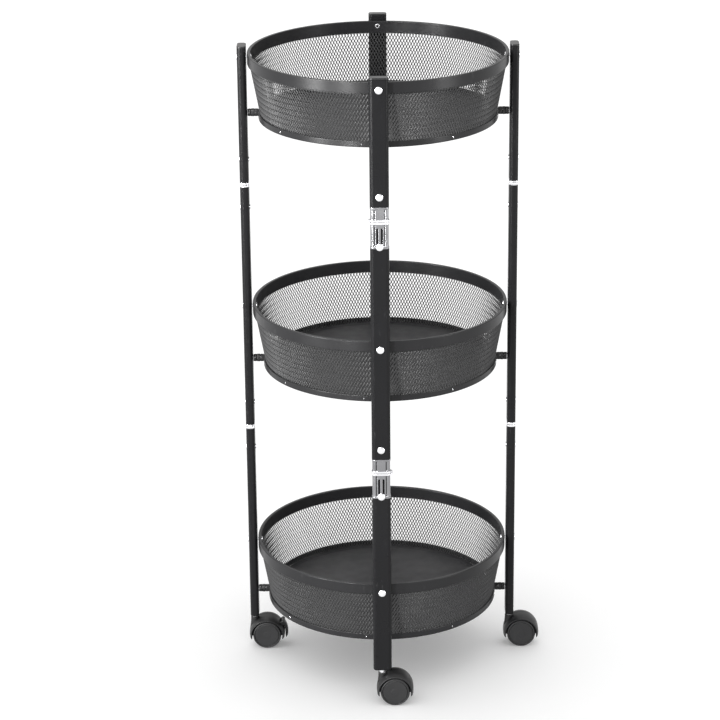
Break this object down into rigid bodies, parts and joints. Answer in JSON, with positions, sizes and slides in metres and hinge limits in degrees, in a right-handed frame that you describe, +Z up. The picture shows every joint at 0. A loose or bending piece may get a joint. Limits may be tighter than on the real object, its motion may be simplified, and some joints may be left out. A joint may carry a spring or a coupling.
{
  "type": "rolling utility cart",
  "caption": "Round mesh baskets stacked on flat-sided posts with hinged plated joints and twin-wheel casters.",
  "frame": {"origin": "on the floor, under the middle of the whole cart's box", "axes": "+Z up; -Y towards the front post; +X the way the casters trail at rest"},
  "size_m": [0.3564, 0.3408, 0.7579],
  "materials": {
    "powder_coat": "satin black powder coat",
    "black_plastic": "satin moulded",
    "plating": "polished"
  },
  "bodies": {
    "bottom_basket": {"bottom_rim": "powder_coat", "bottom_mesh_wall": "powder_coat", "bottom_base_ring": "powder_coat", "bottom_floor": "powder_coat"},
    "middle_basket": {"middle_rim": "powder_coat", "middle_mesh_wall": "powder_coat", "middle_base_ring": "powder_coat", "middle_floor": "powder_coat"},
    "top_basket": {"top_rim": "powder_coat", "top_mesh_wall": "powder_coat", "top_base_ring": "powder_coat", "top_floor": "powder_coat"},
    "right_base_leg": {"right_base_leg": "powder_coat", "right_lower_joint_bottom": "plating"},
    "right_middle_leg": {"right_middle_leg": "powder_coat", "right_lower_joint_top": "plating", "right_upper_joint_bottom": "plating"},
    "right_top_leg": {"right_top_leg": "powder_coat", "right_upper_joint_top": "plating", "right_cap": "black_plastic"},
    "right_caster": {"right_caster_hood": "black_plastic"},
    "right_wheels": {"right_caster_wheels": "black_plastic"},
    "back_base_leg": {"back_base_leg": "powder_coat", "back_lower_joint_bottom": "plating"},
    "back_middle_leg": {"back_middle_leg": "powder_coat", "back_lower_joint_top": "plating", "back_upper_joint_bottom": "plating"},
    "back_top_leg": {"back_top_leg": "powder_coat", "back_upper_joint_top": "plating", "back_cap": "black_plastic"},
    "back_caster": {"back_caster_hood": "black_plastic"},
    "back_wheels": {"back_caster_wheels": "black_plastic"},
    "back_brake_lever": {"back_brake_lever": "black_plastic"},
    "left_base_leg": {"left_base_leg": "powder_coat", "left_lower_joint_bottom": "plating"},
    "left_middle_leg": {"left_middle_leg": "powder_coat", "left_lower_joint_top": "plating", "left_upper_joint_bottom": "plating"},
    "left_top_leg": {"left_top_leg": "powder_coat", "left_upper_joint_top": "plating", "left_cap": "black_plastic"},
    "left_caster": {"left_caster_hood": "black_plastic"},
    "left_wheels": {"left_caster_wheels": "black_plastic"},
    "left_brake_lever": {"left_brake_lever": "black_plastic"},
    "front_base_leg": {"front_base_leg": "powder_coat", "front_lower_joint_bottom": "plating"},
    "front_middle_leg": {"front_middle_leg": "powder_coat", "front_lower_joint_top": "plating", "front_upper_joint_bottom": "plating"},
    "front_top_leg": {"front_top_leg": "powder_coat", "front_upper_joint_top": "plating", "front_cap": "black_plastic"},
    "front_caster": {"front_caster_hood": "black_plastic"},
    "front_wheels": {"front_caster_wheels": "black_plastic"}
  },
  "joints": [
    {"name": "front_base_leg_fold", "type": "hinge", "parent": "bottom_basket", "child": "front_base_leg", "pos_m": [-0.0148, -0.1564, 0.142], "axis": [0, -1, 0], "range_deg": [0, 79]},
    {"name": "front_lower_joint_fold", "type": "hinge", "parent": "front_base_leg", "child": "front_middle_leg", "pos_m": [-0.0028, -0.1564, 0.2925], "axis": [0, -1, 0], "range_deg": [-158, 0]},
    {"name": "middle_basket_level", "type": "hinge", "parent": "front_middle_leg", "child": "middle_basket", "pos_m": [-0.0148, -0.1564, 0.443], "axis": [0, -1, 0], "range_deg": [0, 79]},
    {"name": "front_upper_joint_fold", "type": "hinge", "parent": "front_middle_leg", "child": "front_top_leg", "pos_m": [-0.0268, -0.1564, 0.5935], "axis": [0, -1, 0], "range_deg": [0, 158]},
    {"name": "top_basket_level", "type": "hinge", "parent": "front_top_leg", "child": "top_basket", "pos_m": [-0.0148, -0.1564, 0.744], "axis": [0, -1, 0], "range_deg": [-79, 0]},
    {"name": "right_base_leg_fold", "type": "hinge", "parent": "bottom_basket", "child": "right_base_leg", "pos_m": [0.1416, 0, 0.142], "axis": [1, 0, 0], "range_deg": [0, 79]},
    {"name": "right_middle_leg_fold", "type": "hinge", "parent": "middle_basket", "child": "right_middle_leg", "pos_m": [0.1416, 0, 0.443], "axis": [1, 0, 0], "range_deg": [-79, 0]},
    {"name": "right_top_leg_fold", "type": "hinge", "parent": "top_basket", "child": "right_top_leg", "pos_m": [0.1416, 0, 0.744], "axis": [1, 0, 0], "range_deg": [0, 79]},
    {"name": "back_base_leg_fold", "type": "hinge", "parent": "bottom_basket", "child": "back_base_leg", "pos_m": [-0.0148, 0.1564, 0.142], "axis": [0, 1, 0], "range_deg": [0, 79]},
    {"name": "back_middle_leg_fold", "type": "hinge", "parent": "middle_basket", "child": "back_middle_leg", "pos_m": [-0.0148, 0.1564, 0.443], "axis": [0, 1, 0], "range_deg": [-79, 0]},
    {"name": "back_top_leg_fold", "type": "hinge", "parent": "top_basket", "child": "back_top_leg", "pos_m": [-0.0148, 0.1564, 0.744], "axis": [0, 1, 0], "range_deg": [0, 79]},
    {"name": "left_base_leg_fold", "type": "hinge", "parent": "bottom_basket", "child": "left_base_leg", "pos_m": [-0.1712, 0, 0.142], "axis": [-1, 0, 0], "range_deg": [0, 79]},
    {"name": "left_middle_leg_fold", "type": "hinge", "parent": "middle_basket", "child": "left_middle_leg", "pos_m": [-0.1712, 0, 0.443], "axis": [-1, 0, 0], "range_deg": [-79, 0]},
    {"name": "left_top_leg_fold", "type": "hinge", "parent": "top_basket", "child": "left_top_leg", "pos_m": [-0.1712, 0, 0.744], "axis": [-1, 0, 0], "range_deg": [0, 79]},
    {"name": "right_caster_swivel", "type": "hinge", "parent": "right_base_leg", "child": "right_caster", "pos_m": [0.1416, 0, 0.042], "axis": [0, 0, 1], "continuous": true},
    {"name": "right_wheel_spin", "type": "hinge", "parent": "right_caster", "child": "right_wheels", "pos_m": [0.1562, 0, 0.0173], "axis": [0, 1, 0], "continuous": true},
    {"name": "back_caster_swivel", "type": "hinge", "parent": "back_base_leg", "child": "back_caster", "pos_m": [-0.0148, 0.1564, 0.042], "axis": [0, 0, 1], "continuous": true},
    {"name": "back_wheel_spin", "type": "hinge", "parent": "back_caster", "child": "back_wheels", "pos_m": [-0.0002, 0.1564, 0.0173], "axis": [0, 1, 0], "continuous": true},
    {"name": "back_brake_lever_tilt", "type": "hinge", "parent": "back_caster", "child": "back_brake_lever", "pos_m": [0.01954, 0.1564, 0.03164], "axis": [0, -1, 0], "range_deg": [0, 22]},
    {"name": "left_caster_swivel", "type": "hinge", "parent": "left_base_leg", "child": "left_caster", "pos_m": [-0.1712, 0, 0.042], "axis": [0, 0, 1], "continuous": true},
    {"name": "left_wheel_spin", "type": "hinge", "parent": "left_caster", "child": "left_wheels", "pos_m": [-0.1566, 0, 0.0173], "axis": [0, 1, 0], "continuous": true},
    {"name": "left_brake_lever_tilt", "type": "hinge", "parent": "left_caster", "child": "left_brake_lever", "pos_m": [-0.13686, 0, 0.03164], "axis": [0, -1, 0], "range_deg": [0, 22]},
    {"name": "front_caster_swivel", "type": "hinge", "parent": "front_base_leg", "child": "front_caster", "pos_m": [-0.0148, -0.1564, 0.042], "axis": [0, 0, 1], "continuous": true},
    {"name": "front_wheel_spin", "type": "hinge", "parent": "front_caster", "child": "front_wheels", "pos_m": [-0.0002, -0.1564, 0.0173], "axis": [0, 1, 0], "continuous": true}
  ],
  "couplings": [
    {"joint": "front_lower_joint_fold", "follows": "front_base_leg_fold", "ratio": -2},
    {"joint": "middle_basket_level", "follows": "front_base_leg_fold", "ratio": 1},
    {"joint": "front_upper_joint_fold", "follows": "front_base_leg_fold", "ratio": 2},
    {"joint": "top_basket_level", "follows": "front_base_leg_fold", "ratio": -1},
    {"joint": "right_base_leg_fold", "follows": "front_base_leg_fold", "ratio": 1},
    {"joint": "right_middle_leg_fold", "follows": "front_base_leg_fold", "ratio": -1},
    {"joint": "right_top_leg_fold", "follows": "front_base_leg_fold", "ratio": 1},
    {"joint": "back_base_leg_fold", "follows": "front_base_leg_fold", "ratio": 1},
    {"joint": "back_middle_leg_fold", "follows": "front_base_leg_fold", "ratio": -1},
    {"joint": "back_top_leg_fold", "follows": "front_base_leg_fold", "ratio": 1},
    {"joint": "left_base_leg_fold", "follows": "front_base_leg_fold", "ratio": 1},
    {"joint": "left_middle_leg_fold", "follows": "front_base_leg_fold", "ratio": -1},
    {"joint": "left_top_leg_fold", "follows": "front_base_leg_fold", "ratio": 1}
  ]
}
